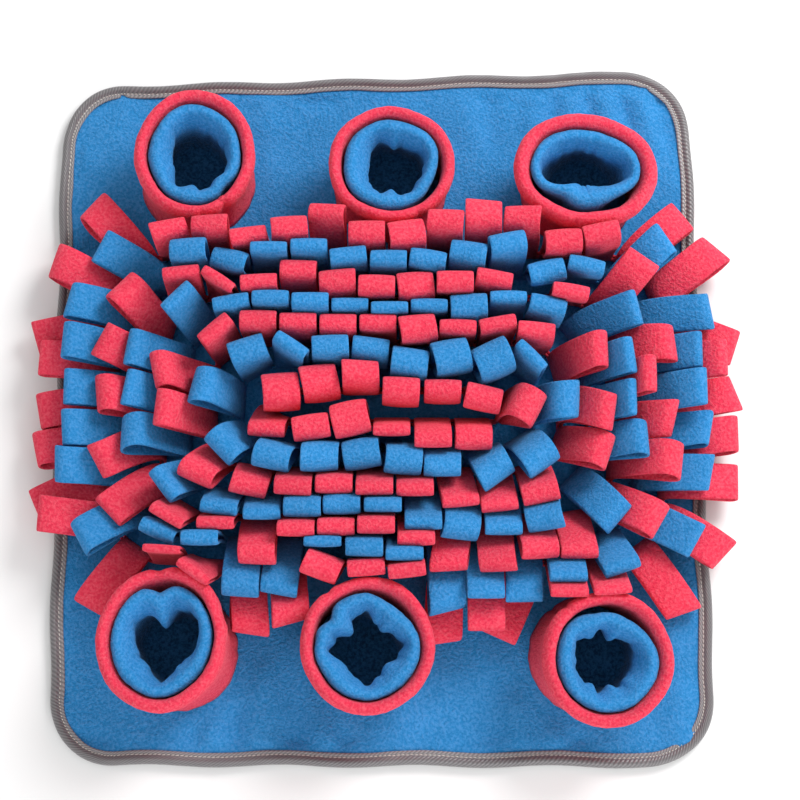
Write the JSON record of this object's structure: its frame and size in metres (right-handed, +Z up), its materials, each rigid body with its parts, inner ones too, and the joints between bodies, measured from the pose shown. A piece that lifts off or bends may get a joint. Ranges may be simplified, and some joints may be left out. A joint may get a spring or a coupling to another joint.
{
  "type": "snuffle mat",
  "caption": "Flat cloth feeding mat with a bound edge, rings of looped fleece fringe standing on it, and round double-walled fleece cups along two sides.",
  "frame": {"origin": "middle of the mat's underside, on the surface it lies on", "axes": "+X along the mat's width, +Y along its length towards its far edge, +Z up"},
  "size_m": [0.4885, 0.4895, 0.0742],
  "materials": {
    "blue_fleece": "brushed pile, matt",
    "red_fleece": "brushed pile, matt",
    "grey_tape": "twill tape, slight sheen"
  },
  "bodies": {
    "root": {"mat": "blue_fleece", "binding": "grey_tape", "fringe_ring_1": "red_fleece", "fringe_ring_2": "blue_fleece", "fringe_ring_3": "red_fleece", "fringe_ring_4": "blue_fleece", "fringe_ring_5": "red_fleece", "fringe_ring_6": "blue_fleece", "fringe_ring_7": "red_fleece", "cup_outer_far_left": "red_fleece", "cup_inner_far_left": "blue_fleece", "cup_outer_far_middle": "red_fleece", "cup_inner_far_middle": "blue_fleece", "cup_outer_far_right": "red_fleece", "cup_inner_far_right": "blue_fleece", "cup_outer_near_left": "red_fleece", "cup_inner_near_left": "blue_fleece", "cup_outer_near_middle": "red_fleece", "cup_inner_near_middle": "blue_fleece", "cup_outer_near_right": "red_fleece", "cup_inner_near_right": "blue_fleece"}
  },
  "joints": []
}
